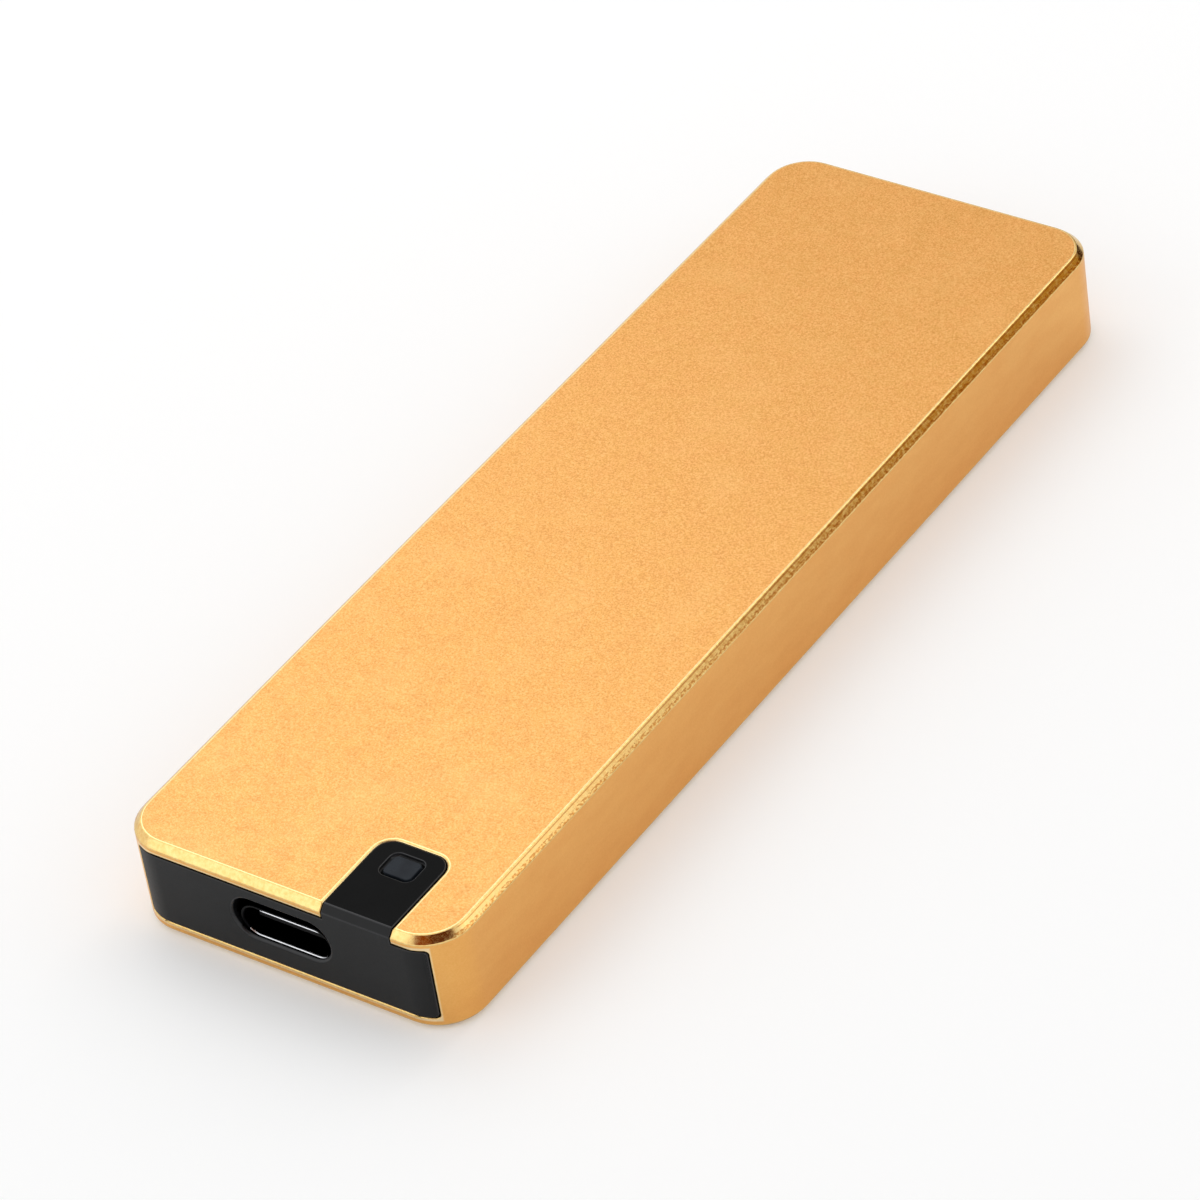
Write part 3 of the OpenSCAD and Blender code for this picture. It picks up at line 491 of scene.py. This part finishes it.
def make_port(materials):
    """The port's steel shell: dark as painted shade, with its lower lead-in bright as a painted highlight.
    """
    mesh = merged_copy("usb_shell")
    for face in mesh.faces:
        face.material_index = BRIGHT if faces_up_front(face) else PLAIN
    round_edges(mesh, "usb_shell", materials, lambda middle: middle.y < PORT_RIM)


def make_tongue(materials):
    """The port's tongue: its steel middle plate shows along the nose, on faces that slant up to the front,
    partly as a painted highlight.
    """
    mesh = merged_copy("usb_tongue")
    for face in mesh.faces:
        face.material_index = BRIGHT if faces_up_front(face) else PLAIN
    round_edges(mesh, "usb_tongue", materials, lambda middle: middle.y < TONGUE_NOSE)


def dress(names, material):
    """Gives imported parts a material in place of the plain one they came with."""
    for name in names:
        for slot in nodes[name].material_slots:
            slot.material = material


# The camera: the photograph's own, solved from the drive's outline

CAMERA_PLACE = Vector((239.79, -293.05, 308.91)) * MM
CAMERA_AZIMUTH = math.radians(39.81)
CAMERA_ELEVATION = math.radians(39.07)
CAMERA_ROLL = math.radians(-9.42)
CAMERA_LENS_MM = 175.6
SENSOR_MM = 36
CLIP_START = 0.01


def make_camera():
    """The camera looks against the direction back, turned by the roll about it."""
    level = math.cos(CAMERA_ELEVATION)
    back = Vector((math.sin(CAMERA_AZIMUTH) * level, -math.cos(CAMERA_AZIMUTH) * level,
                   math.sin(CAMERA_ELEVATION)))
    right = Vector((0, 0, 1)).cross(back).normalized()
    up = back.cross(right)
    across = right * math.cos(CAMERA_ROLL) + up * math.sin(CAMERA_ROLL)
    above = up * math.cos(CAMERA_ROLL) - right * math.sin(CAMERA_ROLL)
    data = bpy.data.cameras.new("camera")
    data.lens = CAMERA_LENS_MM
    data.sensor_width = SENSOR_MM
    data.clip_start = CLIP_START
    camera = put_in_scene("camera", data)
    turn = Matrix((across, above, back)).transposed().to_4x4()
    camera.matrix_world = Matrix.Translation(CAMERA_PLACE) @ turn
    bpy.context.scene.camera = camera


# The studio

# How bright the surround and the floor's own glow are, where 1 is white
SURROUND_LIGHT = 0.85
FLOOR_LIFT = 0.14

# The floor lies a hair below the base, so that the two faces don't fight
FLOOR_GAP = 0.02 * MM
FLOOR_REACH = 3.0

# The corners of a square that reaches 1 to each side
SQUARE = ((-1, -1), (1, -1), (1, 1), (-1, 1))

# A name, a place, the point it faces, its width and height in metres, and its power in watts
SOFTBOXES = (
    ("overhead softbox", (-0.21, 0.10, 0.33), (0, -0.02, 0), (0.26, 0.26), 0.178),
    ("front softbox", (-0.22, -0.31, 0.27), (0, -0.04, 0), (0.26, 0.26), 0.105),
    ("edge strip", (0.05, 0.30, 0.40), (0, 0, 0), (0.07, 0.30), 0.13),
    ("side softbox", (0.28, 0.12, 0.22), (0, -0.03, 0), (0.12, 0.12), 0.028))

# A name, a place, the point it faces, its width and height in metres, and its colour
CARDS = (
    ("brown card by the camera", (0.195, -0.16, 0.275), (0, -0.05, 0.01), (0.28, 0.22), "#5c2f08"),
    ("brown card in front", (0.07, -0.30, 0.26), (0, -0.05, 0.01), (0.19, 0.24), "#8a4808"),
    ("low brown card behind", (0.06, 0.43, 0.05), (0, 0.05, 0.01), (0.32, 0.14), "#3c2206"),
    ("tan card behind", (0.25, 0.38, 0.17), (0, 0.03, 0.01), (0.24, 0.30), "#ae862f"),
    ("cream card behind on the left", (-0.20, 0.46, 0.235), (0, 0.045, 0.01), (0.35, 0.30), "#d8caae"))


def make_softbox(name, place, aim, size, power):
    """A rectangular soft light that stands at a place and faces a point."""
    data = bpy.data.lights.new(name, "AREA")
    data.shape = "RECTANGLE"
    data.size, data.size_y = size
    data.energy = power
    light = put_in_scene(name, data)
    light.location = place
    light.rotation_euler = (Vector(aim) - Vector(place)).to_track_quat("-Z", "Y").to_euler()


def flat_mesh(name, corners, material):
    """A mesh of one face with four corners."""
    data = bpy.data.meshes.new(name)
    data.from_pydata([tuple(corner) for corner in corners], [], [(0, 1, 2, 3)])
    data.materials.append(material)
    return data


def make_card(name, place, aim, size, shade):
    """A matt card that only reflections see, square on to a point. It colours what mirrors it."""
    place = Vector(place)
    towards = (Vector(aim) - place).normalized()
    across = towards.cross((0, 0, 1)).normalized() * size[0] / 2
    above = across.cross(towards).normalized() * size[1] / 2
    corners = [place + x * across + y * above for x, y in SQUARE]
    material = bpy.data.materials.new(name)
    tree = emptied_tree(material)
    glow = add(tree, "Emission", {"Color": linear(shade), "Strength": 1.0})
    add(tree, "OutputMaterial", {"Surface": glow})
    card = put_in_scene(name, flat_mesh(name, corners, material))
    card.visible_camera = card.visible_diffuse = card.visible_shadow = False


def make_world():
    """A plain white surround: full white to the camera and in reflections, softer as a light."""
    world = bpy.data.worlds.new("surround")
    bpy.context.scene.world = world
    tree = emptied_tree(world)
    rays = add(tree, "LightPath").node.outputs
    shown = rays["Is Camera Ray"]
    for ray in ("Is Glossy Ray", "Is Transmission Ray"):
        shown = add(tree, "Math", (shown, rays[ray]), operation="MAXIMUM")
    strength = add(tree, "MapRange", (shown, 0.0, 1.0, SURROUND_LIGHT, 1.0))
    back = add(tree, "Background", {"Color": linear("#ffffff"), "Strength": strength})
    add(tree, "OutputWorld", {"Surface": back})


def make_floor():
    """A plain pale floor under the drive, lifted to white where the camera sees it."""
    corners = [(x * FLOOR_REACH, y * FLOOR_REACH, -FLOOR_GAP) for x, y in SQUARE]
    material, tree, surface, _ = start_material("matt white card", Roughness=0.9,
                                                Base_Color=linear("#ececec"),
                                                Emission_Color=linear("#ffffff"))
    seen = add(tree, "LightPath", output="Is Camera Ray")
    feed(tree, surface, Emission_Strength=add(tree, "MapRange", (seen, 0.0, 1.0, 0.0, FLOOR_LIFT)))
    floor = put_in_scene("floor", flat_mesh("floor", corners, material))


# Everything together

# Each anodised finish has a light, a middle and a dark tone, and a warmer one for its clouds
gold_top = anodised_aluminium("bead-blasted gold anodised aluminium",
                              ("#fbcd8b", "#ebb066", "#ce8e4a", "#ebae67"), 0.52, 0.42)
gold_side = anodised_aluminium("satin gold anodised aluminium",
                               ("#ffca7d", "#fabd6b", "#ecae59", "#f6b767"), 0.2, 0.36, drawn_out=3.0,
                               rim="#fee3b2")
gold_bevel = cut_aluminium("diamond-cut gold anodised aluminium", "#eabb72", "#f4d68f", 0.13,
                           mark="#c8843a")
gold_cut = cut_aluminium("milled gold anodised aluminium", "#f2d69a", "#fbe6b2", 0.3)
black_abs = moulded_plastic("satin black ABS", "#0e0f10", "#131416", 0.4, shine=0.22)
dull_abs = moulded_plastic("spark-textured black ABS", "#08090a", "#0c0d0e", 0.6, shine=0.06)
bright_abs = moulded_plastic("black ABS rubbed smooth", "#141518", "#1a1b1f", 0.3, shine=0.42)
black_lcp = moulded_plastic("moulded black LCP", "#0c0c0d", "#111112", 0.5, shine=0.2)
# The port shell's steel, coloured dark as painted shade
steel_in_painted_shade = plated_metal("nickel-plated steel darkened as painted shade", "#101012", "#0a0a0b", 0.3)
# Bright steel, which the port's and the tongue's faces that slant up to the front get, partly as a painted
# highlight
nickel = plated_metal("nickel-plated steel", "#e6e7ea", "#c4c6ca", 0.2)

make_case((gold_top, gold_side, gold_bevel, gold_cut))
make_cap((black_abs, dull_abs, bright_abs))
make_lens((smoked_polycarbonate("smoked polycarbonate", "#1c2026", "#262b31"),))
make_port((steel_in_painted_shade, nickel))
make_tongue((black_lcp, nickel))

dress(("m2_socket",), black_lcp)
dress(("usb_contacts", "m2_contacts", "edge_contacts"),
      plated_metal("gold-plated copper alloy", "#f2cf7c", "#d9ab52", 0.22))
dress(("main_board", "ssd_board"),
      circuit_board("glass-epoxy board with green solder mask", "#0c3a22", "#1d5b36"))
dress(("bridge_chip", "flash_chip", "power_regulator", "controller_chip", "dram_chip", "nand_chips"),
      moulded_plastic("black moulding epoxy", "#17181a", "#1f2022", 0.55, 0.08, 0.006))
dress(("capacitors", "ssd_capacitors"),
      moulded_plastic("fired barium titanate ceramic", "#8d6a48", "#a07c58", 0.5))
dress(("resistors",), moulded_plastic("black-glazed alumina", "#16171a", "#24252a", 0.35))
dress(("inductor",), moulded_plastic("pressed ferrite", "#3a3836", "#474442", 0.6))
dress(("crystal", "retention_screw"), plated_metal("stamped steel", "#cfd0d0", "#aeb0b2", 0.28))
dress(("cap_screws",), plated_metal("black zinc-plated steel", "#3a3a3e", "#2a2a2d", 0.4))
dress(("standoff",), plated_metal("turned brass", "#e3bd68", "#c79b45", 0.25))
dress(("led",), moulded_plastic("clear epoxy resin", "#e8e4cc", "#f2efdc", 0.25))
dress(("insulating_sheet",), moulded_plastic("polyimide film", "#a8761f", "#b9862c", 0.3))
dress(("thermal_pad",), moulded_plastic("silicone heat pad", "#7f95a8", "#8fa4b5", 0.75, 0.2, 0.01))

make_camera()
make_world()
make_floor()
for softbox in SOFTBOXES:
    make_softbox(*softbox)
for card in CARDS:
    make_card(*card)
bpy.context.scene.view_settings.view_transform = "Standard"
